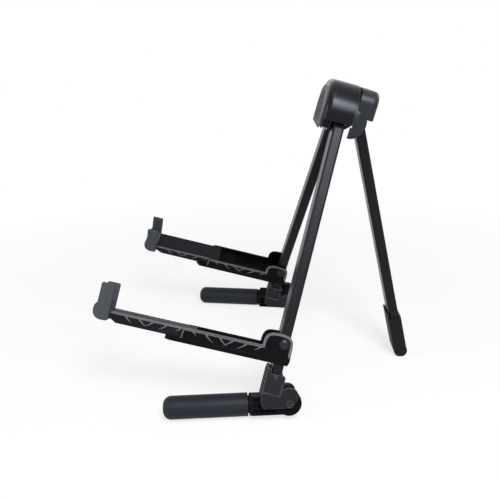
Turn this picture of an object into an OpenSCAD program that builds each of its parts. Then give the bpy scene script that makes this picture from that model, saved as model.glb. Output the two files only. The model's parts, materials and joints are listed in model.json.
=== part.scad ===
// Folding A-frame guitar stand on its floor: two splayed front legs, a rear leg,
// two channel arms with sliding ends and two feet that swing out on the floor.
// Millimetres. Z is up, the front of the stand faces -Y, X runs across it.
// The origin lies on the floor at the middle of the outline.

/* [Stance] */
// backward lean of the plane that holds the two front legs, degrees
lean = 15.5; // [14:0.5:17]
// outward splay of each front leg in that plane, degrees
splay = 20.5; // [19:0.5:22]
// lean of the rear leg away from vertical, degrees
rear_lean = 12.5; // [11:0.5:14]
// downward tilt of an arm from square to its leg, degrees
arm_droop = 1.5; // [0.5:0.25:2.5]

/* [Front legs] */
// width of a leg tube across the leg
leg_width = 30; // [29:0.25:30.5]
// depth of a leg tube from front to back
leg_depth = 12; // [11.5:0.25:12.5]
// wall thickness of a leg tube
leg_wall = 1.5; // [1:0.1:2]
// half the distance between the two splay pins
pivot_spread = 31; // [30.5:0.25:32]
// distance down the leg from the splay pin to the arm bolt
pivot_to_bolt = 270; // [255:1:276]
// distance down the leg from the splay pin to the foot pin level
pivot_to_foot = 330.5; // [326:0.5:340]

/* [Arms] */
// clearance between a leg tube and each side wall of its channel
channel_gap = 0.3; // [0.2:0.05:0.5]
// thickness of the channel side walls
channel_wall = 2.2; // [1.8:0.1:2.4]
// length of the channel side walls ahead of the bolt
channel_reach = 109; // [100:1:112]
// depth of the channel below the bolt centre line
channel_depth = 22.4; // [21.5:0.1:23.5]
// distance from the bolt to the front end of the slider
slider_reach = 190; // [182:1:196]
// travel of the slider back into the channel
slider_travel = 60; // [40:1:62]
// height of the end stop above the bolt centre line
stop_height = 22.4; // [16:0.2:28]
// depth of the upright cheeks of the end stop from back to front
stop_depth = 15; // [13:0.5:17]

/* [Feet] */
// diameter of a foot grip, which touches the floor
grip_diameter = 25.5; // [24.5:0.1:26]
// distance from the foot pin to the tip of the grip
foot_reach = 137; // [120:1:145]
// distance from the foot pin to the root of the grip
grip_root = 44.5; // [42:0.5:48]
// distance of the foot pin behind the leg centre line
pin_back = 21.4; // [21:0.1:22]

/* [Head] */
// overall width of the head
head_width = 104; // [102:0.5:108]
// height of the top of the head above the splay pins
head_top = 27.5; // [26:0.5:32]
// reach of the head front wall below the splay pins
head_bottom = 28.5; // [26:0.5:30]
// radius of the rounded top corners of the head
head_radius = 36; // [30:0.5:40]
// width of the soft back pad on the head
pad_width = 84; // [76:0.5:86]

/* [Rear leg] */
// distance of the rear hinge behind the front leg plane
hinge_back = 20; // [19.5:0.1:20.5]
// length of the rubber boot on the rear leg
boot_length = 62; // [45:1:75]

/* [Hidden] */
$fn = 72;

// running clearance of every hinge pin, on the radius
run = 0.05;
channel_width = leg_width + 2 * (channel_gap + channel_wall);
// half width of the moulded parts that wrap a tube
wrap_half = leg_width / 2 + 2.3;
// half width of the foot knuckle between its cheeks
knuckle_half = leg_width / 2 - 3;
cheek_gap = 0.4;
grip_r = grip_diameter / 2;
// the grip axis runs this far below the foot pin
grip_drop = 2;
pin_height = grip_r + grip_drop;
// the foot arm lies level on the floor while its leg leans and splays
foot_tilt = atan(tan(lean) / cos(splay));
// height of the splay pins that puts the grips on the floor
pivot_z = pin_height + pivot_to_foot * cos(splay) * cos(lean) + pin_back * sin(lean);
// world height and depth of the rear hinge
hinge_z = pivot_z - 2 * cos(lean) - hinge_back * sin(lean);
hinge_y0 = hinge_back * cos(lean) - 2 * sin(lean);
boot_round = 8.4;
// length of the rear leg from the hinge to the centre of the rounded boot end
rear_length = (hinge_z - boot_round + 0.4) / cos(rear_lean);
// world depth of the arm bolt, measured from the splay pins
bolt_y0 = -pivot_to_bolt * cos(splay) * sin(lean);
// height of the bolt centre line's front end in the depth direction
arm_y = lean_y(0, -cos(arm_droop), -sin(arm_droop));
low_y = lean_y(0, sin(arm_droop), -cos(arm_droop));
front_y = bolt_y0 + arm_y * (slider_reach + 7.6) + low_y * 7.2 - 10.4;
back_y = hinge_y0 + rear_length * sin(rear_lean) + boot_round;
// depth of the splay pins that centres the outline on the origin
pivot_y = -(front_y + back_y) / 2;

// world depth of a direction given in the frame of a splayed leg
function lean_y(x, y, z) =
    y * cos(lean) + (x * sin(splay) + z * cos(splay)) * sin(lean);

module in_plane() {
    translate([0, pivot_y, pivot_z])
        rotate([-lean, 0, 0])
            children();
}

module in_leg() {
    in_plane()
        translate([pivot_spread, 0, 0])
            rotate([0, -splay, 0])
                children();
}

module in_arm() {
    in_leg()
        translate([0, 0, -pivot_to_bolt])
            rotate([arm_droop, 0, 0])
                children();
}

module in_foot() {
    in_leg()
        translate([0, pin_back, -pivot_to_foot])
            rotate([foot_tilt, 0, 0])
                children();
}

module in_rear() {
    translate([0, pivot_y + hinge_y0, hinge_z])
        rotate([rear_lean, 0, 0])
            children();
}

module mirrored() {
    mirror([1, 0, 0])
        children();
}

// side view outline, drawn forward and up, given width from x1 to x2
module side_slab(x1, x2) {
    rotate([90, 0, -90])
        translate([0, 0, -x2])
            linear_extrude(x2 - x1)
                children();
}

// front view outline, given depth from n1 to n2 ahead of the local plane
module front_slab(n1, n2) {
    rotate([90, 0, 0])
        translate([0, 0, n1])
            linear_extrude(n2 - n1)
                children();
}

// round bar across the part
module bar_x(r, x1, x2) {
    translate([x1, 0, 0])
        rotate([0, 90, 0])
            cylinder(h = x2 - x1, r = r);
}

// round bar along the depth, from n1 to n2 ahead of the local plane
module bar_n(r, n1, n2) {
    translate([0, -n1, 0])
        rotate([90, 0, 0])
            cylinder(h = n2 - n1, r = r);
}

// rectangle with four rounded corners, centred
module soft_square(w, h, r) {
    square([w - 2 * r, h], center = true);
    square([w, h - 2 * r], center = true);
    for (i = [-1, 1]) {
        for (j = [-1, 1]) {
            translate([i * (w / 2 - r), j * (h / 2 - r)])
                circle(r, $fn = 32);
        }
    }
}

// one edge of a soft slab: r wide, d deep, outer corner rounded by f
module edge_profile(r, d, f) {
    intersection() {
        square([r, d]);
        union() {
            square([r, d - f]);
            square([r - f, d]);
            translate([r - f, d - f])
                circle(f);
        }
    }
}

// slab facing forward with round outline corners and a softened front edge
module soft_slab(hw, zt, zb, rt, rb, n1, n2, f) {
    d = n2 - n1;
    translate([0, -n1, 0])
        rotate([90, 0, 0]) {
            for (i = [0, 1]) {
                mirror([i, 0, 0]) {
                    translate([hw - rt, zt - rt, 0])
                        rotate_extrude(angle = 90)
                            edge_profile(rt, d, f);
                    translate([hw - rb, zb + rb, 0])
                        mirror([0, 1, 0])
                            rotate_extrude(angle = 90)
                                edge_profile(rb, d, f);
                    translate([0, zt - rt, 0])
                        rotate([90, 0, 0])
                            linear_extrude(zt - rt - zb - rb)
                                edge_profile(hw, d, f);
                }
            }
            translate([-(hw - rt), zt - rt, 0])
                rotate([90, 0, 90])
                    linear_extrude(2 * (hw - rt))
                        edge_profile(rt, d, f);
            translate([-(hw - rb), zb + rb, 0])
                mirror([0, 1, 0])
                    rotate([90, 0, 90])
                        linear_extrude(2 * (hw - rb))
                            edge_profile(rb, d, f);
        }
}

// outline in the front view with round top corners rt and round bottom corners rb
module pad_outline(hw, zt, zb, rt, rb) {
    for (i = [0, 1]) {
        mirror([i, 0]) {
            intersection() {
                translate([hw - rt, zt - rt])
                    circle(rt);
                translate([hw - rt - 1, zt - rt])
                    square([rt + 1, rt]);
            }
            translate([hw - rb, zb + rb])
                circle(rb, $fn = 32);
        }
    }
    translate([-(hw - rt), zt - rt - 1])
        square([2 * (hw - rt), rt + 1]);
    translate([-hw, zb + rb])
        square([2 * hw, zt - rt - zb - rb]);
    translate([-(hw - rb), zb])
        square([2 * (hw - rb), 2 * rb]);
}

head_hw = head_width / 2;
shell_front = 21.4;
shell_back = -12.6;
shell_wall = 3;
pad_recess = 1.2;
// bore for a splay pin
pin_r = 4;
// splay pins end against the back of the pivot plate
plate_front = -6.5;
plate_back = -9;
pillar_z = 11;

module head_shell() {
    color("#1b1b1d")
        in_plane()
            difference() {
                union() {
                    difference() {
                        soft_slab(head_hw, head_top, -head_bottom, head_radius, 13.6,
                            shell_back, shell_front, 9);
                        soft_slab(head_hw - shell_wall, head_top - shell_wall, -head_bottom - 20,
                            head_radius - shell_wall, 5, shell_back - 1, shell_front - 4, 6);
                        translate([-head_hw - 1, -(shell_front - 4), -head_bottom - 1])
                            cube([2 * head_hw + 2, 60, head_bottom - 15 + 1]);
                    }
                    shell_ribs();
                }
                for (i = [-1, 1]) {
                    translate([i * pivot_spread, 0, 0])
                        bar_n(pin_r, -20, shell_front - 4);
                }
                // recess that seats the back pad
                front_slab(shell_front - pad_recess, shell_front + 1)
                    pad_outline(pad_width / 2, head_top - 9, -head_bottom + 1.5,
                        head_radius - 9, 5);
            }
}

// cross wall ahead of the legs, pin bosses, centre pillars and stiffening webs
module shell_ribs() {
    front_slab(8, 11)
        polygon([[-head_hw + 2.5, -14], [-head_hw + 2.5, 6], [-30, 19], [30, 19],
            [head_hw - 2.5, 6], [head_hw - 2.5, -14], [36, -27], [-36, -27]]);
    for (i = [-1, 1]) {
        translate([i * pivot_spread, 0, 0])
            bar_n(7.5, 6.3, shell_front - 3);
        translate([0, 0, i * pillar_z])
            bar_n(4.5, plate_front, 9);
    }
    for (x = [-36, -18, 0, 18, 36]) {
        translate([x - 1, -(shell_front - 3), -25])
            cube([2, shell_front - 3 - 10, 36]);
    }
}

module front_pad() {
    color("#b4b4b0")
        in_plane()
            difference() {
                union() {
                    front_slab(shell_front - pad_recess, shell_front + 1.3)
                        pad_outline(pad_width / 2 - 0.2, head_top - 9.2, -head_bottom + 1.7,
                            head_radius - 9.2, 4.8);
                    front_slab(shell_front - pad_recess, shell_front + 2)
                        pad_outline(pad_width / 2 - 1.2, head_top - 10.2, -head_bottom + 2.7,
                            head_radius - 10.2, 3.8);
                }
                // shallow channel that frames the textured field
                front_slab(shell_front + 1.5, shell_front + 3)
                    difference() {
                        pad_outline(pad_width / 2 - 5, head_top - 14, -head_bottom + 5.5,
                            head_radius - 14, 3);
                        pad_outline(pad_width / 2 - 6, head_top - 15, -head_bottom + 6.5,
                            head_radius - 15, 2.5);
                    }
            }
}

module pivot_plate() {
    color("#8c8e90")
        in_plane()
            difference() {
                front_slab(plate_back, plate_front)
                    difference() {
                        pad_outline(44, 17, -17, 14, 8);
                        for (x = [-13, 13]) {
                            translate([x, 0])
                                circle(5);
                        }
                    }
                for (i = [-1, 1]) {
                    translate([i * pivot_spread, 0, 0])
                        bar_n(pin_r, -20, 0);
                    translate([0, 0, i * pillar_z])
                        bar_n(1.6, -20, 0);
                }
            }
}

module splay_pin() {
    color("#a8aaac")
        in_plane()
            translate([pivot_spread, 0, 0]) {
                bar_n(pin_r, plate_back, shell_front - 4);
                bar_n(6, plate_back - 1.4, plate_back);
            }
}

cover_back = -35.7;
cover_hw = 47;
hinge_pin_half = cover_hw - 1.2;

// rear cover: a softened box with open bottom, arched cheeks and a seat lip
module rear_cover() {
    color("#161618")
        in_plane()
            difference() {
                union() {
                    difference() {
                        cover_form(cover_hw, head_top - 1.2, 15, -cover_back, 6);
                        cover_form(cover_hw - 2.6, head_top - 3.8, 12.4, -cover_back - 2.7, 4);
                        cover_arch();
                    }
                    cover_lip();
                    // front edge of each cheek below the shell
                    for (x = [-cover_hw, cover_hw - 2.6]) {
                        translate([x, -shell_back, -head_bottom - 1])
                            cube([2.6, 4, head_bottom - 16]);
                    }
                    for (i = [0, 1]) {
                        mirror([i, 0, 0])
                            translate([0, hinge_back, -2])
                                bar_x(6, leg_width / 2 + 0.6, cover_hw - 2);
                    }
                }
                // blind bore of the hinge pin
                translate([0, hinge_back, -2])
                    bar_x(3, -hinge_pin_half, hinge_pin_half);
                for (i = [-1, 1]) {
                    for (z = [-2, 17]) {
                        translate([i * 27, 0, z])
                            bar_n(1.6, -60, cover_back + 8);
                        translate([i * 27, 0, z])
                            bar_n(3.4, -60, cover_back + 1.2);
                    }
                }
            }
}

module cover_form(hw, zt, rt, depth, f) {
    rotate([0, 0, 180])
        soft_slab(hw, zt, -head_bottom - 1, rt, 5, 2.6 - shell_back, depth, f);
}

// the cheeks end in an arc below the back wall
module cover_arch() {
    difference() {
        translate([-60, 10, -60])
            cube([120, 60, 55]);
        translate([0, 9.2, -11.2])
            bar_x(20, -61, 61);
    }
}

// lip that fits inside the shell rim and bears on the pivot plate
module cover_lip() {
    lip_hw = head_hw - shell_wall - 0.2;
    lip_top = head_top - shell_wall - 0.2;
    front_slab(-18.9, plate_back)
        intersection() {
            difference() {
                pad_outline(lip_hw, lip_top, -40, head_radius - 3.2, 5);
                pad_outline(lip_hw - 6, lip_top - 6, -50, head_radius - 9.2, 5);
            }
            translate([-60, -14.8])
                square([120, 60]);
        }
}

module cover_screws() {
    color("#55575a")
        in_plane()
            for (i = [-1, 1]) {
                for (z = [-2, 17]) {
                    translate([i * 27, 0, z])
                        difference() {
                            union() {
                                bar_n(3.3, cover_back + 0.2, cover_back + 1.2);
                                bar_n(1.6, cover_back + 1, cover_back + 4.5);
                            }
                            bar_n(1.4, cover_back, cover_back + 0.9);
                        }
                }
            }
}

module rear_hinge_pin() {
    color("#a8aaac")
        in_plane()
            translate([0, hinge_back, -2])
                bar_x(3, -hinge_pin_half + 0.1, hinge_pin_half - 0.1);
}

// flat tube with rounded edges, from z1 up to z2
module flat_tube(w, d, wall, z1, z2) {
    translate([0, 0, z1])
        linear_extrude(z2 - z1)
            difference() {
                soft_square(w, d, 2.4);
                soft_square(w - 2 * wall, d - 2 * wall, 1.2);
            }
}

tube_top = -27;
rear_top = -13;
// the rear tube stops a little above the rounded boot end
rear_end = -rear_length + 4;

module rear_leg() {
    color("#0d0d0f")
        in_rear()
            flat_tube(leg_width, leg_depth, leg_wall, rear_end, rear_top);
}

module rear_hinge_plug() {
    color("#232326")
        in_rear()
            difference() {
                union() {
                    bar_x(9.2, -leg_width / 2, leg_width / 2);
                    translate([-leg_width / 2, -leg_depth / 2, rear_top])
                        cube([leg_width, leg_depth, -rear_top]);
                    translate([0, 0, rear_top - 28])
                        linear_extrude(30)
                            soft_square(leg_width - 2 * leg_wall - 0.1,
                                leg_depth - 2 * leg_wall - 0.1, 1.15);
                }
                bar_x(3 + run, -20, 20);
                // weight saving pockets beside the barrel
                for (x = [-9, 9]) {
                    translate([x - 3.5, -10, -9])
                        cube([7, 3.4, 4]);
                }
            }
}

module rear_boot() {
    boot_top = -rear_length + boot_length - boot_round;
    color("#151517")
        intersection() {
            in_rear()
                difference() {
                    union() {
                        translate([0, 0, -rear_length])
                            linear_extrude(boot_top + rear_length - 7)
                                soft_square(leg_width + 4, 2 * boot_round, 3.2);
                        // taller front lip
                        translate([-leg_width / 2 - 2, -boot_round, -rear_length + 8])
                            cube([leg_width + 4, 2.2, boot_top + rear_length - 8]);
                        translate([0, 0, -rear_length])
                            bar_x(boot_round, -leg_width / 2 - 2, leg_width / 2 + 2);
                    }
                    translate([0, 0, rear_end])
                        linear_extrude(boot_length + 20)
                            soft_square(leg_width, leg_depth, 2.4);
                    // grooves of the non-slip sole
                    for (x = [-12, -6, 0, 6, 12]) {
                        translate([0, 0, -rear_length])
                            rotate([0, 90, 0])
                                translate([0, 0, x - 0.75])
                                    difference() {
                                        cylinder(h = 1.5, r = boot_round + 1);
                                        cylinder(h = 1.5, r = boot_round - 1);
                                        translate([-20, -20, -1])
                                            cube([20, 40, 5]);
                                    }
                    }
                }
            translate([-60, -500, 0])
                cube([120, 1000, 500]);
        }
}

leg_end = -pivot_to_foot - 2 + 14.5;
rivet_z = leg_end + 11.5;

module front_leg() {
    color("#0d0d0f")
        in_leg()
            difference() {
                flat_tube(leg_width, leg_depth, leg_wall, leg_end, tube_top);
                translate([0, 0, -pivot_to_bolt])
                    bar_x(3 + run, -20, 20);
                translate([0, 0, rivet_z])
                    bar_x(1.8, -20, 20);
            }
}

module hinge_plug() {
    color("#232326")
        in_leg()
            difference() {
                union() {
                    front_slab(-5.9, 5.9) {
                        circle(11.2);
                        polygon([[-11.2, 0], [-11.2, -20.6], [-leg_width / 2, tube_top + 1.4],
                            [-leg_width / 2, tube_top], [leg_width / 2, tube_top],
                            [leg_width / 2, tube_top + 1.4], [11.2, -20.6], [11.2, 0]]);
                    }
                    translate([0, 0, tube_top - 32])
                        linear_extrude(34)
                            soft_square(leg_width - 2 * leg_wall - 0.1,
                                leg_depth - 2 * leg_wall - 0.1, 1.15);
                }
                bar_n(pin_r + run, -20, 20);
                // moulded pockets leave a web between ribs
                for (x = [-5.4, 5.4]) {
                    for (y = [-7, 3]) {
                        translate([x - 4, y, -22.5])
                            cube([8, 4, 13]);
                    }
                }
            }
}

// outline of the foot bracket in the side view, forward and up from the foot pin level
module bracket_outline() {
    heel = [for (i = [0 : 10]) [-21 + 8 * cos(195 - 12 * i), 10.6 + 8 * sin(195 - 12 * i)]];
    front = [[-9.2, 28.8], [6.2, 28.8], [6.2, 34], [7.2, 34.8], [9.2, 33.8], [9.9, 31.8],
        [10.2, 28], [10.2, 2], [9.4, -3.5], [7, -7.8], [3.8, -9.9], [-24.5, -1.7]];
    back = [[-14, 17.2], [-10.4, 14.5], [-10.4, 27.6]];
    polygon(concat(front, heel, back));
}

module foot_bracket() {
    lift = -pivot_to_foot - 2;
    color("#1a1a1c")
        in_leg()
            difference() {
                translate([0, 0, lift])
                    side_slab(-wrap_half, wrap_half)
                        bracket_outline();
                // socket for the leg tube
                translate([0, 0, leg_end])
                    linear_extrude(60)
                        soft_square(leg_width, leg_depth, 2.4);
                bracket_swing_room();
                // ladder of shallow cells on the front wall
                for (i = [0 : 5]) {
                    for (x = [-wrap_half + 1.7, 1.2]) {
                        translate([x, -12, lift + 3.6 + 4.9 * i])
                            cube([wrap_half - 2.9, 4, 3.4]);
                    }
                }
                // creases where the heel of each cheek meets the socket
                for (x = [-wrap_half - 0.7, wrap_half - 0.6]) {
                    translate([x, 8.7, lift + 7.6])
                        cube([1.3, 1.1, 12]);
                    translate([x, -8.6, lift + 7])
                        cube([1.3, 17.3, 0.8]);
                }
                in_pin() {
                    bar_x(2.5, -30, 30);
                    bar_x(3.3, -wrap_half - 1, -wrap_half + 0.9);
                    bar_x(3.3, wrap_half - 0.9, wrap_half + 1);
                }
                // rivet through the socket and the tube
                translate([0, 0, rivet_z])
                    bar_x(1.8, -30, 30);
            }
}

module in_pin() {
    translate([0, pin_back, -pivot_to_foot])
        children();
}

// space between the cheeks through which the foot arm swings down and round
module bracket_swing_room() {
    lift = -pivot_to_foot - 2;
    in_pin()
        bar_x(14.2, -knuckle_half - cheek_gap, knuckle_half + cheek_gap);
    // under the front wall, down to the floor side
    in_pin()
        rotate([foot_tilt, 0, 0])
            translate([-knuckle_half - cheek_gap, -60, -40])
                cube([2 * (knuckle_half + cheek_gap), 90, 48.6]);
    // behind the tube, for the folded arm
    translate([-knuckle_half - cheek_gap, 8.3, lift - 20])
        cube([2 * (knuckle_half + cheek_gap), 60, 80]);
}

// blind rivet on each side, flush with the socket
module bracket_rivet() {
    color("#2a2b2d")
        in_leg()
            translate([0, 0, rivet_z])
                for (i = [0, 1]) {
                    mirror([i, 0, 0]) {
                        bar_x(1.8, leg_width / 2 - leg_wall - 0.4, wrap_half - 0.1);
                        bar_x(2.4, leg_width / 2 - leg_wall - 1.2, leg_width / 2 - leg_wall);
                    }
                }
}

module foot_pin() {
    color("#55575a")
        in_leg()
            in_pin()
                difference() {
                    union() {
                        bar_x(2.5, -wrap_half + 0.8, wrap_half - 0.8);
                        bar_x(3.2, wrap_half - 0.9, wrap_half - 0.3);
                        bar_x(3.2, -wrap_half + 0.3, -wrap_half + 0.9);
                    }
                    bar_x(1.5, wrap_half - 1.7, wrap_half + 1, $fn = 6);
                    bar_x(1.5, -wrap_half - 1, -wrap_half + 1.7, $fn = 6);
                }
}

core_top = 8.2;
core_low = -12.4;
core_mid = (core_top + core_low) / 2;

module foot_arm() {
    color("#1f1f22")
        in_foot()
            difference() {
                union() {
                    bar_x(13.8, -knuckle_half, knuckle_half);
                    translate([-knuckle_half + 0.6, -grip_root + 3.5, core_low])
                        cube([2 * knuckle_half - 1.2, grip_root - 3.5, core_top - core_low]);
                    translate([0, 0, -grip_drop]) {
                        bar_n(12.4, grip_root - 4, grip_root - 1.5);
                        bar_n(9.6, grip_root - 2, grip_root);
                        bar_n(8, grip_root - 1, foot_reach - 11);
                    }
                }
                // long pockets on both sides leave the ribs
                for (i = [0, 1]) {
                    mirror([i, 0, 0])
                        for (z = [core_low + 2.2, core_mid - 2.3, core_top - 6.8]) {
                            translate([knuckle_half - 3.6, -grip_root + 6, z])
                                cube([10, grip_root - 21, 4.6]);
                        }
                }
                bar_x(2.5 + run, -20, 20);
                // shallow axial flutes round the back of the knuckle
                for (a = [10 : 17 : 150]) {
                    rotate([a, 0, 0])
                        translate([0, 14.6, 0])
                            bar_x(1.3, -20, 20);
                }
            }
}

module foot_grip() {
    tip = foot_reach;
    color("#2b2b2d")
        in_foot()
            translate([0, 0, -grip_drop])
                rotate([90, 0, 0])
                    rotate_extrude()
                        difference() {
                            union() {
                                translate([0, grip_root])
                                    square([grip_r, tip - 9 - grip_root]);
                                translate([0, tip - 10])
                                    square([grip_r - 9, 10]);
                                intersection() {
                                    translate([grip_r - 9, tip - 9])
                                        circle(9);
                                    square([grip_r, tip]);
                                }
                            }
                            // seat of the arm core
                            translate([-1, grip_root - 1])
                                square([9, foot_reach - 11 - grip_root + 1]);
                        }
}

half_in = channel_width / 2 - channel_wall;
half_out = channel_width / 2;
rim_z = -5.4;
floor_z = -channel_depth + 4.6;
// the floor starts just ahead of the leg face that it stops against
floor_start = leg_depth / 2 / cos(arm_droop) + channel_depth * tan(arm_droop) + 0.12;
// front end of a wall: round top corner, then a flare down to the tongue
front_curve = concat([[4.4, -channel_depth], [4.4, -19.6], [3, -18.9], [1.7, -17.6], [1, -15.6]],
    [for (i = [0 : 6]) [-4.8 + 5.6 * cos(15 * i), rim_z - 5.6 + 5.6 * sin(15 * i)]]);

// side view of a channel wall: bolt lug behind, straight wall ahead, front end drawn in by d
module wall_outline(d) {
    polygon(concat([[-9.7, -2], [-9.7, -18.4], [-8.6, -21.2], [-6.2, -channel_depth]],
        [for (q = front_curve) [q[0] + channel_reach - d, q[1]]],
        [[22.9, rim_z], [22.2, 2.3], [20.8, 5.5], [18.4, 8.2], [14.7, 9.7], [9.8, 10.2],
            [5.3, 10.4], [0.7, 10], [-3.8, 8.9], [-6.9, 6.7], [-8.9, 3.6]]));
}

module arm_channel() {
    color("#17171a")
        in_arm()
            difference() {
                union() {
                    side_slab(half_in, half_out)
                        wall_outline(0);
                    side_slab(-half_out, -half_in)
                        wall_outline(0);
                    // floor with the tongue ahead of the walls
                    translate([-half_in - 0.5, -channel_reach - 18, -channel_depth])
                        cube([2 * half_in + 1, channel_reach + 18 - floor_start, 4.6]);
                    // foot rail along each lower edge
                    for (i = [0, 1]) {
                        mirror([i, 0, 0])
                            translate([half_in + 0.4, -channel_reach - 18, -channel_depth])
                                cube([channel_wall, channel_reach + 26.4, 5]);
                    }
                }
                // grooves that hold the runners of the slider
                for (i = [0, 1]) {
                    mirror([i, 0, 0])
                        translate([half_in - 0.5, -runner_end - 0.3, runner_z - 0.3])
                            cube([1.5, runner_end - floor_start - 1.7, 3.1]);
                }
                // rounded tongue corners
                for (i = [-1, 1]) {
                    translate([i * half_out, -channel_reach - 18, -30])
                        rotate([0, 0, 45])
                            cube([7, 7, 40], center = true);
                }
                // row of vents near the bolt end of the rail
                for (i = [0 : 4]) {
                    translate([-40, -4.4 - 5.1 * i, floor_z - 0.5])
                        cube([80, 3, 1.1]);
                }
                // long slit in the floor along each wall
                for (i = [0, 1]) {
                    mirror([i, 0, 0])
                        translate([half_in - 2.4, -channel_reach + 12, -30])
                            cube([1.7, channel_reach - 12 - 18, 20]);
                }
                bar_x(3 + run, -40, 40);
            }
}

// curved spike from a root of width w to a point, its slope turning from a0 to a1
module thorn(x, z, length, a0, a1, w, side) {
    k = length / (a1 - a0) * 180 / PI;
    mid = [for (i = [0 : 6]) let (a = a0 + (a1 - a0) * i / 6)
        [k * (sin(a) - sin(a0)), k * (cos(a) - cos(a0)), a, w / 2 * (1 - i / 6) + 0.1]];
    over = [for (q = mid) [q[0] + q[3] * sin(q[2]), q[1] + q[3] * cos(q[2])]];
    under = [for (i = [6 : -1 : 0]) let (q = mid[i]) [q[0] - q[3] * sin(q[2]), q[1] - q[3] * cos(q[2])]];
    translate([x, z])
        mirror([side < 0 ? 1 : 0, 0])
            polygon(concat(over, under));
}

// evenly spaced thorns that lean towards the middle, where two of them cross
module thorn_row(x0, z, pitch, size) {
    for (i = [0 : 4]) {
        thorn(x0 + pitch * i, z, i == 0 ? 0.65 * size : size, 50, 24, 1.9, i < 3 ? 1 : -1);
    }
}

rim_band = 3.1;

// pale raised band along the rim, round the lug and down the front edge, with thorns
module trim_outline() {
    difference() {
        intersection() {
            wall_outline(0);
            union() {
                difference() {
                    translate([-12, rim_z - rim_band])
                        square([channel_reach + 12, rim_band]);
                    translate([-12, rim_z - 1.75])
                        square([channel_reach + 4, 0.35]);
                }
                translate([-12, rim_z - 0.1])
                    square([36, 20]);
                // the strip down the front edge starts above the foot rail
                translate([channel_reach - 8, floor_z + 0.5])
                    difference() {
                        square([12, 10 + rim_z - floor_z]);
                        translate([8 - channel_reach, -floor_z - 0.5])
                            wall_outline(1.3);
                    }
                thorn(channel_reach - 9, rim_z - 1.8, 8, 32, 52, 1.9, -1);
                thorn_row(24, rim_z - rim_band + 0.6, (channel_reach - 33) / 5, 12.6);
                polygon([[-10, -2], [-5.4, -8], [-7.9, -14.5], [-10, -9]]);
            }
        }
        // dark field inside the lug band
        polygon([[-6.7, rim_z - 5], [-6.7, 2.6], [-5.2, 4.4], [-2.8, 6], [1, 7.1], [5.3, 7.5],
            [9.8, 7.3], [13.6, 6.8], [16.3, 5.9], [18, 4.1], [19.2, 1.5], [19.9, -5.4],
            [19.9, rim_z - 5]]);
        circle(6.8);
    }
}

module arm_trim() {
    color("#a9aaac")
        in_arm() {
            side_slab(half_out, half_out + 0.5)
                trim_outline();
            side_slab(-half_out - 0.5, -half_out)
                trim_outline();
        }
}

slider_half = half_in - 0.2;
slider_top = rim_z - 0.1;
// pushed fully in, the tail ends just ahead of the leg
slider_rear = slider_travel + floor_start + 3.4;
// the top plate ends behind the channel mouth, the tail below it runs on
plate_rear = channel_reach - 14;
runner_z = -13.4;
runner_end = channel_reach - 10;

module arm_slider() {
    cell = (slider_reach - plate_rear - 15) / 5;
    color("#1e1e21")
        in_arm()
            difference() {
                union() {
                    side_slab(-slider_half, slider_half)
                        polygon([[slider_rear, runner_z + 3.4], [plate_rear, runner_z + 3.4],
                            [plate_rear, slider_top], [slider_reach, slider_top],
                            [slider_reach, -13], [slider_reach - 8.6, floor_z + 0.1],
                            [slider_rear, floor_z + 0.1]]);
                    // runners in the grooves of the channel walls
                    translate([-half_in - 0.7, -runner_end, runner_z])
                        cube([2 * half_in + 1.4, runner_end - slider_rear, 2.5]);
                }
                // hollow underside with ribs left across it
                for (i = [0 : 4]) {
                    translate([-slider_half + 2.4, -plate_rear - 2.4 - cell * (i + 1), -30])
                        cube([2 * slider_half - 4.8, cell - 2.4, 30 + slider_top - 2.4]);
                }
                translate([-slider_half + 2.4, -plate_rear + 2, -30])
                    cube([2 * slider_half - 4.8, plate_rear - slider_rear - 4.4, 30 + runner_z + 1]);
                // adjusting notches along both top edges
                for (i = [0, 1]) {
                    mirror([i, 0, 0])
                        for (j = [0 : 11]) {
                            translate([slider_half - 1.2, -slider_reach + 9 + 6 * j, slider_top - 1])
                                cube([3, 3, 3]);
                        }
                }
                // fine groove beside each notched edge
                for (x = [-slider_half + 1.9, slider_half - 3.3]) {
                    translate([x, -slider_reach - 1, slider_top - 0.9])
                        cube([1.4, slider_reach + 2 - plate_rear, 3]);
                }
                // mortise for the end stop tenon
                translate([-7, -slider_reach - 1, -13.2])
                    cube([14, 3.6, 4.6]);
            }
}

// pale band and thorns on the sides of the slider
module slider_trim() {
    x1 = channel_reach - 3;
    z1 = slider_top - 3;
    color("#a9aaac")
        in_arm()
            for (i = [0, 1]) {
                mirror([i, 0, 0])
                    side_slab(slider_half, slider_half + 0.15)
                        intersection() {
                            translate([x1, -30])
                                square([slider_reach - 1 - x1, 40]);
                            union() {
                                translate([x1, z1])
                                    square([slider_reach - 1 - x1, 2.7]);
                                thorn_row(x1 + 6, z1 + 0.6, (slider_reach - x1 - 8) / 5, 10.6);
                            }
                        }
            }
}

stop_half = half_out - 0.2;
stop_round = 2.6;

// side view of the upright cheeks of the end stop, with round top corners
module stop_upright() {
    for (q = [stop_round, stop_depth - stop_round]) {
        translate([slider_reach + q, stop_height - stop_round])
            circle(stop_round);
    }
    translate([slider_reach + stop_round, -8])
        square([stop_depth - 2 * stop_round, stop_height + 8]);
    translate([slider_reach, -8])
        square([stop_depth, stop_height - stop_round + 8]);
}

// side view of the rounded base that bulges forward below the cheeks
module stop_base() {
    translate([slider_reach + 7.6, -7.2])
        circle(10.4);
    translate([slider_reach, -7.2])
        square([12, 7]);
    polygon([[slider_reach, -7.2], [slider_reach, -15], [slider_reach + 2, -17.3],
        [slider_reach + 7.6, -17.6], [slider_reach + 7.6, -7.2]]);
}

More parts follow.
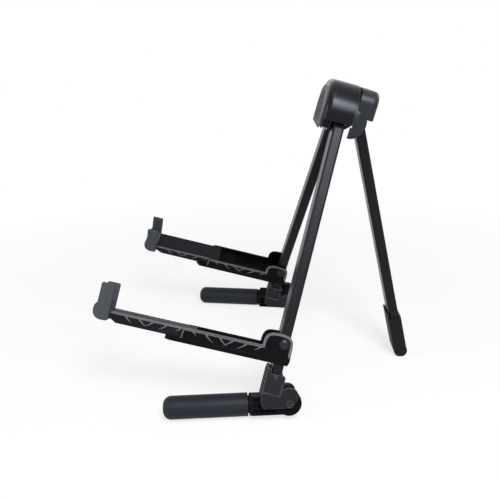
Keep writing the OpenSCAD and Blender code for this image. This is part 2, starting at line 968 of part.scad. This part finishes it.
// fork whose two cheeks pass on either side of the leg when the arm is folded
module end_stop() {
    color("#8f8f8d")
        in_arm()
            difference() {
                union() {
                    intersection() {
                        side_slab(-stop_half, stop_half)
                            stop_upright();
                        stop_section(stop_depth);
                        front_slab(slider_reach - 1, slider_reach + stop_depth + 1)
                            pad_outline(stop_half, stop_height, -20, 1.6, 1.5);
                    }
                    intersection() {
                        side_slab(-stop_half, stop_half)
                            stop_base();
                        stop_section(18);
                    }
                    // tenon in the slider end
                    translate([-6.9, -slider_reach - 0.5, -13.1])
                        cube([13.8, 3, 4.4]);
                }
                translate([-half_in, -slider_reach - 40, slider_top])
                    cube([2 * half_in, 60, 60]);
                // blind slot in the inner face of each cheek
                for (i = [0, 1]) {
                    mirror([i, 0, 0])
                        side_slab(half_in - 1, half_in + 1)
                            translate([slider_reach + 6.7, 0]) {
                                translate([-2.7, slider_top])
                                    square([5.4, stop_height - 10 - slider_top]);
                                translate([0, stop_height - 10])
                                    circle(2.7);
                            }
                }
            }
}

// plan of the stop with softened upright edges
module stop_section(depth) {
    translate([0, -slider_reach - depth / 2, -40])
        linear_extrude(80)
            soft_square(2 * stop_half, depth, 1.8);
}

module arm_bolt() {
    color("#3a3b3d")
        in_arm()
            difference() {
                union() {
                    bar_x(3, -half_out - 2.2, half_out + 1);
                    // domed head on the outer side
                    translate([half_out + 0.6, 0, 0])
                        rotate([0, 90, 0])
                            rotate_extrude()
                                intersection() {
                                    translate([0, -6.4])
                                        circle(9.4);
                                    square([5.6, 3]);
                                }
                    bar_x(5.6, half_out + 0.05, half_out + 0.65);
                }
                translate([half_out + 2.2, 0, 0])
                    bar_x(1.9, 0, 4, $fn = 6);
                bar_x(1.9, -half_out - 3, -half_out - 0.6, $fn = 6);
            }
}

// low round nut with a chamfered rim
module arm_nut() {
    color("#6d6f71")
        in_arm()
            translate([-half_out - 2.6, 0, 0])
                rotate([0, 90, 0])
                    rotate_extrude()
                        polygon([[3, 0], [4, 0], [4.5, 0.5], [4.5, 2], [6, 2], [6, 2.5], [3, 2.5]]);
}

head_shell();
front_pad();
pivot_plate();
rear_cover();
cover_screws();
splay_pin();  // splay_pin_right
mirrored() splay_pin();  // splay_pin_left
rear_hinge_pin();
rear_leg();
rear_hinge_plug();
rear_boot();
front_leg();  // front_leg_right
mirrored() front_leg();  // front_leg_left
hinge_plug();  // hinge_plug_right
mirrored() hinge_plug();  // hinge_plug_left
foot_bracket();  // foot_bracket_right
mirrored() foot_bracket();  // foot_bracket_left
foot_pin();  // foot_pin_right
mirrored() foot_pin();  // foot_pin_left
bracket_rivet();  // bracket_rivet_right
mirrored() bracket_rivet();  // bracket_rivet_left
foot_arm();  // foot_arm_right
mirrored() foot_arm();  // foot_arm_left
foot_grip();  // foot_grip_right
mirrored() foot_grip();  // foot_grip_left
arm_channel();  // arm_channel_right
mirrored() arm_channel();  // arm_channel_left
arm_trim();  // arm_trim_right
mirrored() arm_trim();  // arm_trim_left
arm_slider();  // arm_slider_right
mirrored() arm_slider();  // arm_slider_left
slider_trim();  // slider_trim_right
mirrored() slider_trim();  // slider_trim_left
end_stop();  // end_stop_right
mirrored() end_stop();  // end_stop_left
arm_bolt();  // arm_bolt_right
mirrored() arm_bolt();  // arm_bolt_left
arm_nut();  // arm_nut_right
mirrored() arm_nut();  // arm_nut_left
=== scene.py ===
import bmesh
import bpy
import json
import math
from mathutils import Matrix, Vector


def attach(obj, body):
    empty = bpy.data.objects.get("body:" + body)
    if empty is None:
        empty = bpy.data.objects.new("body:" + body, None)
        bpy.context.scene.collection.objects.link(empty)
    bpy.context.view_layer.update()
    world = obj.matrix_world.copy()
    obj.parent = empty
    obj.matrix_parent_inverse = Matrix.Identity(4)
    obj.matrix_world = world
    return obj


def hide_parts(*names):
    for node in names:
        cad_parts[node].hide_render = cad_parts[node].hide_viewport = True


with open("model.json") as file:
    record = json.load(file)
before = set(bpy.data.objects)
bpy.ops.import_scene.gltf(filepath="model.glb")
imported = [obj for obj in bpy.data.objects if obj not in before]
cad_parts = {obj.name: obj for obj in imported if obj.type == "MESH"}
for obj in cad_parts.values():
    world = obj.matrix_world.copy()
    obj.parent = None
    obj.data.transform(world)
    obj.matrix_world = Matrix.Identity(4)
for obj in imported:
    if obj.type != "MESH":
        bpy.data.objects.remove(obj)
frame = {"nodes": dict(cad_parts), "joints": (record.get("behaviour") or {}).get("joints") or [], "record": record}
NODES = frame["nodes"]
JOINTS = {j["name"]: j for j in frame["joints"]}
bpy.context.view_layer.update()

MM = 0.001
SIDES = ("right", "left")
WHITE = (1, 1, 1)

# Shader nodes


# Link an input to another node's output, or set it to a plain value
def feed(tree, socket, value):
    if isinstance(value, bpy.types.NodeSocket):
        tree.links.new(value, socket)
    elif socket.type == "RGBA":
        socket.default_value = (*value, 1)
    else:
        socket.default_value = value


# The output that an input is linked to
def fed_by(socket):
    return socket.links[0].from_socket


# A new node with its inputs fed and its settings set
def add_node(tree, kind, inputs, **settings):
    node = tree.nodes.new("ShaderNode" + kind)
    for name, value in settings.items():
        setattr(node, name, value)
    for key, value in inputs.items():
        feed(tree, node.inputs[key], value)
    return node


def new_material(name):
    mat = bpy.data.materials.new(name)
    mat.use_nodes = True
    tree = mat.node_tree
    tree.nodes.clear()
    shader = add_node(tree, "BsdfPrincipled", {})
    add_node(tree, "OutputMaterial", {"Surface": shader.outputs[0]})
    return mat, tree, shader


def principled(mat):
    return next(n for n in mat.node_tree.nodes if n.type == "BSDF_PRINCIPLED")


# Object coordinates, stretched along the axes
def coords(tree, scale=(1, 1, 1)):
    place = add_node(tree, "TexCoord", {}).outputs["Object"]
    return add_node(tree, "Mapping", {"Vector": place, "Scale": scale}).outputs[0]


# Strength of each finer layer of a noise, as a share of the one before
NOISE_ROUGHNESS = 0.55


def noise(tree, vec, scale, detail):
    inputs = {"Vector": vec, "Scale": scale, "Detail": detail, "Roughness": NOISE_ROUGHNESS}
    return add_node(tree, "TexNoise", inputs).outputs[0]


# The values between which most of a noise lies
NOISE_SPAN = (0.3, 0.7)


# Map a span of values to the range from lo to hi, without going past its ends
def ramp(tree, value, lo, hi, span=NOISE_SPAN):
    inputs = {"Value": value, "From Min": span[0], "From Max": span[1], "To Min": lo, "To Max": hi}
    return add_node(tree, "MapRange", inputs).outputs[0]


def math_node(tree, op, a, b):
    return add_node(tree, "Math", {0: a, 1: b}, operation=op).outputs[0]


# Vector operations that give a number
TO_NUMBER = ("DOT_PRODUCT", "LENGTH", "DISTANCE")


def vector_math(tree, op, *operands):
    node = add_node(tree, "VectorMath", dict(enumerate(operands)), operation=op)
    return node.outputs["Value" if op in TO_NUMBER else "Vector"]


# Sockets of a Mix node for each kind of data: its two inputs and its output
MIX_SOCKETS = {"RGBA": (6, 7, 2), "VECTOR": (4, 5, 1)}


def mix(tree, kind, fac, a, b):
    first, second, result = MIX_SOCKETS[kind]
    return add_node(tree, "Mix", {0: fac, first: a, second: b}, data_type=kind).outputs[result]


def mix_shader(tree, fac, a, b):
    return add_node(tree, "MixShader", {0: fac, 1: a, 2: b}).outputs[0]


# Lay a colour over the one that the material has
def overlay(mat, fac, colour):
    base = principled(mat).inputs["Base Color"]
    feed(mat.node_tree, base, mix(mat.node_tree, "RGBA", fac, fed_by(base), colour))


BUMP_STRENGTH = 0.5


def bump(tree, height, distance, normal):
    inputs = {"Strength": BUMP_STRENGTH, "Distance": distance, "Height": height, "Normal": normal}
    return add_node(tree, "Bump", inputs).outputs[0]


BEVEL_SAMPLES = 6


def soft_edge(tree, radius):
    return add_node(tree, "Bevel", {"Radius": radius}, samples=BEVEL_SAMPLES).outputs[0]


# Cosine between the rounded and the plain normal on an edge and on a face
EDGE_COSINES = (0.86, 0.985)


# How far the rounded normal turns from the plain one: 0 on a face, 1 on an edge
def edge_mask(tree, rounded):
    plain = add_node(tree, "NewGeometry", {}).outputs["Normal"]
    return ramp(tree, vector_math(tree, "DOT_PRODUCT", rounded, plain), 1, 0, EDGE_COSINES)


# The black plastics and paints shine a little blue
COOL_GLOSS = (0.88, 0.93, 1.06)
# Patches of the pale rims, which are wear and painted edge highlight, and of smears, in cycles per metre
WEAR_AND_GLINT_PATCHES = 60
SMEAR_PATCHES = 35
# The least pale rim on an edge (wear and painted highlight), as a share of the most
WEAR_AND_GLINT_LEAST = 0.35
# Factors between which smears and grain move the roughness
SMEAR = (0.92, 1.08)
GRAIN = (0.9, 1.1)


# One surface recipe for all the solid materials: a slow colour drift, a fine
# grain in the roughness and in the relief, rounded edges and paler rims that are
# partly wear and partly painted edge highlight. Drift and grain are in cycles per metre
def surface(name, dark, light, rough, grain=900, relief=0.04 * MM, edge=0.4 * MM, metal=0, spec=0.25,
            drift=14, stretch=(1, 1, 1), wear_and_glint=0.5, worn_and_glint=(0.09, 0.095, 0.105)):
    mat, tree, shader = new_material(name)
    vec = coords(tree)
    rounded = soft_edge(tree, edge)
    patches = ramp(tree, noise(tree, vec, WEAR_AND_GLINT_PATCHES, detail=3), WEAR_AND_GLINT_LEAST * wear_and_glint, wear_and_glint)
    # Paler rims on the edges: partly wear, partly a painted highlight where the edges catch the lamps
    rim_wear_and_glint = math_node(tree, "MULTIPLY", edge_mask(tree, rounded), patches)
    body = mix(tree, "RGBA", ramp(tree, noise(tree, vec, drift, detail=3), 0, 1), dark, light)
    feed(tree, shader.inputs["Base Color"], mix(tree, "RGBA", rim_wear_and_glint, body, worn_and_glint))
    fine = noise(tree, coords(tree, stretch), grain, detail=2)
    gloss = ramp(tree, fine, *(rough * factor for factor in GRAIN))
    smears = ramp(tree, noise(tree, vec, SMEAR_PATCHES, detail=4), *SMEAR)
    feed(tree, shader.inputs["Roughness"], math_node(tree, "MULTIPLY", smears, gloss))
    feed(tree, shader.inputs["Normal"], bump(tree, fine, relief, rounded))
    shader.inputs["Metallic"].default_value = metal
    shader.inputs["Specular IOR Level"].default_value = spec
    if metal == 0:
        feed(tree, shader.inputs["Specular Tint"], COOL_GLOSS)
    return mat


# Finishes, with the arguments of surface()
FINISHES = {
    # Satin housing of the head
    "moulded_black_head": dict(
        dark=(0.0018, 0.002, 0.0028), light=(0.0032, 0.0035, 0.0045), rough=0.25,
        grain=1400, relief=0.02 * MM, edge=1 * MM, spec=0.2, wear_and_glint=0.15),
    # The rear cover is paler and a little rougher than the shell
    "moulded_black_cover": dict(
        dark=(0.009, 0.0102, 0.0132), light=(0.013, 0.0148, 0.0182), rough=0.36,
        grain=1500, relief=0.03 * MM, edge=0.8 * MM, spec=0.28, wear_and_glint=0.25),
    # Deep matt black of the arm channels
    "moulded_black_arm": dict(
        dark=(0.0015, 0.0015, 0.0019), light=(0.003, 0.003, 0.0036), rough=0.5,
        grain=1500, relief=0.03 * MM, spec=0.06, wear_and_glint=0.25),
    # Fine spark texture of the foot brackets, also on their pins and rivets
    "moulded_black_bracket": dict(
        dark=(0.009, 0.0095, 0.0115), light=(0.013, 0.0138, 0.0165), rough=0.5,
        grain=2200, relief=0.06 * MM, edge=1 * MM, spec=0.13, wear_and_glint=0.9, worn_and_glint=(0.2, 0.205, 0.22)),
    "pad_rubber": dict(
        dark=(0.1, 0.1, 0.106), light=(0.125, 0.125, 0.131), rough=0.75,
        grain=1600, relief=0.06 * MM, spec=0.15, wear_and_glint=0.4, worn_and_glint=(0.32, 0.32, 0.33)),
    "bare_steel": dict(
        dark=(0.5, 0.5, 0.5), light=(0.6, 0.6, 0.6), rough=0.3,
        metal=1, spec=0.5, stretch=(1, 1, 6), wear_and_glint=0.2, worn_and_glint=(0.7, 0.7, 0.7)),
    "black_steel": dict(
        dark=(0.006, 0.006, 0.0075), light=(0.011, 0.011, 0.0127), rough=0.3,
        spec=0.22, worn_and_glint=(0.2, 0.2, 0.21)),
    "tube_black": dict(
        dark=(0.0024, 0.0024, 0.003), light=(0.0038, 0.0038, 0.0046), rough=0.36,
        grain=700, relief=0.02 * MM, spec=0.2, drift=6, stretch=(1, 1, 0.5), wear_and_glint=0.3),
    "dark_nylon": dict(
        dark=(0.0015, 0.0015, 0.002), light=(0.003, 0.003, 0.0037), rough=0.55,
        grain=1800, spec=0.06, wear_and_glint=0.6, worn_and_glint=(0.1, 0.1, 0.11)),
    "boot_rubber": dict(
        dark=(0.007, 0.007, 0.0083), light=(0.011, 0.011, 0.0127), rough=0.6,
        grain=1500, relief=0.06 * MM, spec=0.12, wear_and_glint=0.4),
    "grip_rubber": dict(
        dark=(0.012, 0.0137, 0.0177), light=(0.0163, 0.0185, 0.0235), rough=0.48,
        grain=1700, relief=0.05 * MM, spec=0.13, worn_and_glint=(0.1, 0.105, 0.115)),
    "pale_ornament": dict(
        dark=(0.085, 0.086, 0.092), light=(0.12, 0.121, 0.128), rough=0.55,
        grain=1300, wear_and_glint=0.4, worn_and_glint=(0.24, 0.24, 0.25)),
    "slider_black": dict(
        dark=(0.0055, 0.0059, 0.0075), light=(0.0085, 0.0091, 0.0112), rough=0.5,
        grain=1500, relief=0.03 * MM, spec=0.08),
    "stop_rubber": dict(
        dark=(0.046, 0.052, 0.061), light=(0.059, 0.066, 0.077), rough=0.7,
        grain=1500, relief=0.06 * MM, edge=3 * MM, spec=0.14, wear_and_glint=0.08, worn_and_glint=(0.16, 0.165, 0.18)),
}
# The sheet of the back pad has a material of its own
PAD_SHEET = dict(
    dark=(0.125, 0.125, 0.131), light=(0.15, 0.15, 0.157), rough=0.75,
    grain=1600, relief=0.06 * MM, spec=0.15, wear_and_glint=0.3, worn_and_glint=(0.3, 0.3, 0.31))

MATS = {name: surface(name, **finish) for name, finish in FINISHES.items()}
MATS["moulded_black"] = MATS["moulded_black_arm"]

# Pieces that have another finish than their slot's
OWN = {"head_shell": "moulded_black_head", "rear_cover": "moulded_black_cover"}
for side in SIDES:
    OWN["arm_nut_" + side] = "black_steel"
    for piece in ("foot_bracket_", "foot_pin_", "bracket_rivet_"):
        OWN[piece + side] = "moulded_black_bracket"

# Behind its plate the slider is a bare tail, matt, with painted shade that makes it nearly black: the shade deep
# in the arm's channel
TAIL_LENGTH = 25.5 * MM
TAIL_EDGE = 0.8 * MM
TAIL_PAINTED_SHADE = (0.0008, 0.0008, 0.0009)
TAIL_ROUGHNESS = 0.9


def slider_material(obj, joint):
    mat = MATS["slider_black"].copy()
    mat.name = "slider_black_" + obj.name
    tree = mat.node_tree
    inward = (obj.matrix_world.inverted().to_3x3() @ Vector(joint["axis"])).normalized()
    start = max(inward.dot(v.co) for v in obj.data.vertices) - TAIL_LENGTH
    along = vector_math(tree, "DOT_PRODUCT", coords(tree), inward)
    tail = ramp(tree, along, 0, 1, (start, start + TAIL_EDGE))
    # painted shade over the tail
    overlay(mat, tail, TAIL_PAINTED_SHADE)
    rough = principled(mat).inputs["Roughness"]
    matt = math_node(tree, "MULTIPLY", tail, TAIL_ROUGHNESS)
    feed(tree, rough, math_node(tree, "MAXIMUM", fed_by(rough), matt))
    return mat


slots = {s["node"]: s["material_slot"] for s in frame["record"]["subparts"]}
for name, obj in NODES.items():
    obj.data.materials.clear()
    obj.data.materials.append(MATS[OWN.get(name, slots[name])])
for side in SIDES:
    slider = NODES["arm_slider_" + side]
    slider.data.materials[0] = slider_material(slider, JOINTS["slider_slide_" + side])

# The plane of the front legs, taken from the right splay hinge: the origin lies
# midway between the two splay pins, AHEAD points out of the front of the head
hinge = JOINTS["splay_hinge_right"]
PLANE_ORIGIN = Vector((0, *hinge["pos_m"][1:]))
AHEAD = -Vector(hinge["axis"]).normalized()
UP = Vector((1, 0, 0)).cross(-AHEAD)


def plane_point(x, ahead, up):
    return PLANE_ORIGIN + Vector((x, 0, 0)) + AHEAD * ahead + UP * up


def in_plane_frame(v):
    w = v - PLANE_ORIGIN
    return w.x, w.dot(AHEAD), w.dot(UP)


# A corner of the wall inside the shell breaks its round side by half a
# millimetre, so the shading there follows the round. A point on the round's
# axis, and the corner, are given across, ahead and up in the plane of the legs
ROUND_AXIS = (16 * MM, 0, -8.5 * MM)
WALL_CORNER = (49.2 * MM, 9.5 * MM, 5.6 * MM)
# Full effect up to the first distance from the corner, none past the second
CORNER_REACH = (2.2 * MM, 3 * MM)


def round_off_corner(mat):
    tree = mat.node_tree
    normal = principled(mat).inputs["Normal"]
    place = coords(tree)
    for side in (1, -1):
        axis = plane_point(side * ROUND_AXIS[0], *ROUND_AXIS[1:])
        corner = plane_point(side * WALL_CORNER[0], *WALL_CORNER[1:])
        out = vector_math(tree, "SUBTRACT", place, axis)
        radial = vector_math(tree, "SUBTRACT", out, vector_math(tree, "PROJECT", out, AHEAD))
        unit = vector_math(tree, "NORMALIZE", radial)
        near = ramp(tree, vector_math(tree, "DISTANCE", place, corner), 1, 0, CORNER_REACH)
        feed(tree, normal, mix(tree, "VECTOR", near, fed_by(normal), unit))


round_off_corner(MATS["moulded_black_head"])

# Soft back pad: a moulded rubber sheet with a rolled border, a fine channel round
# the field and rows of raised dashes that tilt a little. Its width, height and
# thickness come from the pad in the frame
across, ahead, height = zip(*(in_plane_frame(v.co) for v in NODES["front_pad"].data.vertices))
PAD_HALF = max(across)
PAD_LOW, PAD_TOP = min(height), max(height)
PAD_BACK, PAD_FRONT = min(ahead), max(ahead)
PAD_TOP_ROUND = 26.8 * MM
PAD_LOW_ROUND = 4.8 * MM
# Gaps to the back and the front of the pad in the frame
BACK_GAP = 0.05 * MM
FRONT_GAP = 0.25 * MM
# Spacing of the points on the face
PAD_ROW = 0.3 * MM
PAD_COLUMN = 0.7 * MM
# The border rolls down towards the edge
ROLL_WIDTH = 2.4 * MM
ROLL_DROP = 1.9 * MM
# The channel, and the field that starts beside it
CHANNEL_INSET = 5.6 * MM
CHANNEL_HALF = 0.5 * MM
CHANNEL_DEPTH = 0.55 * MM
FIELD_GAP = 0.8 * MM
FIELD_EASE = 1.2 * MM
# The dashes: their crests stand DASH_PROUD above the border
DASH_TILT = math.radians(6)
DASH_PITCH = 4.4 * MM
DASH_STEP = 34 * MM
DASH_LENGTH = 29.5 * MM
DASH_HALF = 1.4 * MM
DASH_FLANK = 0.6 * DASH_HALF
DASH_RISE = 1 * MM
DASH_PROUD = 0.3 * MM
# Between the dashes the rubber is painted darker: painted shade in the hollows
HOLLOW_PAINTED_SHADE = (0.04, 0.04, 0.043)
HOLLOW_SHARE = 0.7
HOLLOW_SPAN = (0.1, 0.9)


def smooth(t):
    t = max(0, min(1, t))
    return t * t * (3 - 2 * t)


# The round of the corners beside a height, and how far the height reaches into it
def pad_corner(z):
    if z > PAD_TOP - PAD_TOP_ROUND:
        return PAD_TOP_ROUND, z - PAD_TOP + PAD_TOP_ROUND
    return PAD_LOW_ROUND, max(0, PAD_LOW + PAD_LOW_ROUND - z)


# Half the pad's width at a height
def pad_reach(z):
    r, into = pad_corner(z)
    return PAD_HALF - r + math.sqrt(max(0, r * r - into * into))


# Distance inside the pad's outline
def pad_depth(x, z):
    r, into = pad_corner(z)
    if into == 0:
        depth = min(PAD_HALF - abs(x), PAD_TOP - z, z - PAD_LOW)
    else:
        depth = r - math.hypot(max(0, abs(x) - PAD_HALF + r), into)
    return max(0, depth)


# Height of the nearest dash at a point, 0 between the dashes
def dash_rise(x, z):
    along = x * math.cos(DASH_TILT) - z * math.sin(DASH_TILT)
    across = x * math.sin(DASH_TILT) + z * math.cos(DASH_TILT)
    row = round(across / DASH_PITCH)
    if row % 2:
        along -= DASH_STEP / 2
    along -= DASH_STEP * round(along / DASH_STEP)
    past_end = max(0, abs(along) - (DASH_LENGTH / 2 - DASH_HALF))
    away = math.hypot(past_end, across - row * DASH_PITCH)
    return DASH_RISE * smooth((DASH_HALF - away) / DASH_FLANK)


# How far ahead the face stands at a point, and how hollow it is there: 0 on a
# dash and on the border, 1 between the dashes
def pad_face(x, z):
    depth = pad_depth(x, z)
    turn = 1 - min(1, depth / ROLL_WIDTH)
    roll = ROLL_DROP * (1 - math.sqrt(1 - turn * turn))
    channel = CHANNEL_DEPTH * math.exp(-((depth - CHANNEL_INSET) / CHANNEL_HALF) ** 2)
    border = PAD_FRONT - FRONT_GAP - roll - channel
    inside = smooth((depth - CHANNEL_INSET - FIELD_GAP) / FIELD_EASE)
    rise = dash_rise(x, z)
    return border + inside * (rise - DASH_RISE + DASH_PROUD), inside * (1 - rise / DASH_RISE)


# Rows of points over the face, from the lower edge up
def pad_points(bm):
    hollow = bm.verts.layers.float.new("hollow")
    rows = int((PAD_TOP - PAD_LOW) / PAD_ROW)
    columns = int(2 * PAD_HALF / PAD_COLUMN)
    grid = []
    for j in range(rows + 1):
        z = PAD_LOW + (PAD_TOP - PAD_LOW) * j / rows
        reach = pad_reach(z)
        line = []
        for i in range(columns + 1):
            x = reach * (2 * i / columns - 1)
            front, deep = pad_face(x, z)
            v = bm.verts.new(plane_point(x, front, z))
            v[hollow] = deep
            line.append(v)
        grid.append(line)
    return grid


def pad_mesh():
    bm = bmesh.new()
    grid = pad_points(bm)
    for low, high in zip(grid, grid[1:]):
        for i in range(len(low) - 1):
            bm.faces.new((low[i], low[i + 1], high[i + 1], high[i]))
    # once round the face, with sides down to the back
    rim = grid[0][:] + [r[-1] for r in grid[1:]] + grid[-1][-2::-1] + [r[0] for r in grid[-2:0:-1]]
    foot = []
    for v in rim:
        x, _, z = in_plane_frame(v.co)
        foot.append(bm.verts.new(plane_point(x, PAD_BACK + BACK_GAP, z)))
    for k in range(len(rim)):
        n = (k + 1) % len(rim)
        bm.faces.new((rim[n], rim[k], foot[k], foot[n]))
    for face in bm.faces:
        face.smooth = True
    # the flat back isn't smoothed
    bm.faces.new(foot)
    bmesh.ops.recalc_face_normals(bm, faces=bm.faces)
    mesh = bpy.data.meshes.new("back_pad")
    bm.to_mesh(mesh)
    bm.free()
    return mesh


def pad_sheet_material():
    mat = surface("pad_sheet", **PAD_SHEET)
    tree = mat.node_tree
    deep = add_node(tree, "Attribute", {}, attribute_name="hollow").outputs["Fac"]
    # painted shade in the hollows between the dashes
    overlay(mat, ramp(tree, deep, 0, HOLLOW_SHARE, HOLLOW_SPAN), HOLLOW_PAINTED_SHADE)
    return mat


def make_pad():
    mesh = pad_mesh()
    mesh.materials.append(pad_sheet_material())
    pad = bpy.data.objects.new("back_pad", mesh)
    bpy.context.scene.collection.objects.link(pad)
    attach(pad, "head")
    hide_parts("front_pad")


make_pad()

# Stage: a pale floor that fades to white away from the object, a white surround
# and soft lamps
FLOOR_SIZE = 40
FLOOR_DROP = 0.4 * MM
FLOOR_TONES = ((0.86, 0.86, 0.86), (0.89, 0.89, 0.89))
FLOOR_PATCHES = 1.5
FLOOR_ROUGHNESS = 0.7
# Distances at which the floor's shading starts to fade and is gone, and the
# share of it that shows near the object
FLOOR_FADE = (0.25, 0.9)
FLOOR_SHADE = 0.27
# The surround looks white, and lights the scene with this share of white
WORLD_LIGHT = 0.26


# 1 for what the camera sees, also in a reflection or through a clear piece
def seen_ray(tree):
    path = add_node(tree, "LightPath", {})
    both = math_node(tree, "MAXIMUM", path.outputs["Is Camera Ray"], path.outputs["Is Glossy Ray"])
    return math_node(tree, "MAXIMUM", both, path.outputs["Is Transmission Ray"])


def stage_floor():
    bpy.ops.mesh.primitive_plane_add(size=FLOOR_SIZE, location=(0, 0, -FLOOR_DROP))
    floor = bpy.context.object
    floor.name = "floor"
    mat, tree, shader = new_material("floor_pale")
    place = coords(tree)
    tone = ramp(tree, noise(tree, place, FLOOR_PATCHES, detail=2), 0, 1)
    feed(tree, shader.inputs["Base Color"], mix(tree, "RGBA", tone, *FLOOR_TONES))
    shader.inputs["Roughness"].default_value = FLOOR_ROUGHNESS
    shader.inputs["Specular IOR Level"].default_value = 0
    glow = add_node(tree, "Emission", {"Color": WHITE, "Strength": 1}).outputs[0]
    fade = ramp(tree, vector_math(tree, "LENGTH", place), 1 - FLOOR_SHADE, 1, FLOOR_FADE)
    glowing = math_node(tree, "MULTIPLY", fade, seen_ray(tree))
    shown = shader.outputs[0].links[0].to_socket
    feed(tree, shown, mix_shader(tree, glowing, shader.outputs[0], glow))
    floor.data.materials.append(mat)


def white_light(tree, strength):
    return add_node(tree, "Background", {"Color": WHITE, "Strength": strength}).outputs[0]


def white_world():
    world = bpy.data.worlds.new("surround")
    bpy.context.scene.world = world
    world.use_nodes = True
    tree = world.node_tree
    tree.nodes.clear()
    shown = mix_shader(tree, seen_ray(tree), white_light(tree, WORLD_LIGHT), white_light(tree, 1))
    add_node(tree, "OutputWorld", {"Surface": shown})


# Each lamp's place and aim, its width and height and its watts
UPPER_AIM = (0.1, 0.03, 0.2)
MIDDLE_AIM = (0, 0, 0.15)
LAMPS = {
    "overhead": ((0.568, 0.13, 1.516), UPPER_AIM, 0.75, 0.52, 3),
    "side_high": ((0.991, 0.32, 1.24), UPPER_AIM, 0.5, 0.49, 17),
    "side_low": ((1.223, 0.395, 0.952), UPPER_AIM, 0.55, 0.27, 4.2),
    "front_fill": ((0.45, -1.45, 0.85), MIDDLE_AIM, 0.6, 0.6, 6),
    "back_fill": ((-0.8, 1.5, 1.1), MIDDLE_AIM, 0.6, 0.6, 4),
}


def area_light(name, place, aim, width, height, watts):
    data = bpy.data.lights.new(name, "AREA")
    data.shape = "RECTANGLE"
    data.size = width
    data.size_y = height
    data.energy = watts
    obj = bpy.data.objects.new(name, data)
    bpy.context.scene.collection.objects.link(obj)
    obj.location = place
    obj.rotation_mode = "QUATERNION"
    obj.rotation_quaternion = (Vector(aim) - Vector(place)).to_track_quat("-Z", "Y")


stage_floor()
white_world()
for name, lamp in LAMPS.items():
    area_light(name, *lamp)

# Camera at the photo's place: position in metres, angles in degrees, lens and
# sensor in millimetres, clipping distances in metres
CAM_POS = (0.71047, 0.01836, 0.37462)
CAM_AZ, CAM_EL, CAM_ROLL = 93.109, 18.157, -1.14
CAM_LENS = 42.236
CAM_SENSOR = 36
CAM_CLIP = (0.02, 60)


def make_camera():
    azimuth, elevation, roll = (math.radians(angle) for angle in (CAM_AZ, CAM_EL, CAM_ROLL))
    flat = math.cos(elevation)
    forward = Vector((-math.sin(azimuth) * flat, math.cos(azimuth) * flat, -math.sin(elevation)))
    level = Vector((math.cos(azimuth), math.sin(azimuth), 0))
    upright = level.cross(forward)
    right = level * math.cos(roll) + upright * math.sin(roll)
    up = upright * math.cos(roll) - level * math.sin(roll)
    data = bpy.data.cameras.new("photo_camera")
    data.lens = CAM_LENS
    data.sensor_width = CAM_SENSOR
    data.clip_start, data.clip_end = CAM_CLIP
    cam = bpy.data.objects.new("photo_camera", data)
    bpy.context.scene.collection.objects.link(cam)
    turn = Matrix((right, up, -forward)).transposed()
    cam.matrix_world = Matrix.Translation(CAM_POS) @ turn.to_4x4()
    bpy.context.scene.camera = cam


make_camera()
bpy.context.scene.view_settings.view_transform = "Standard"
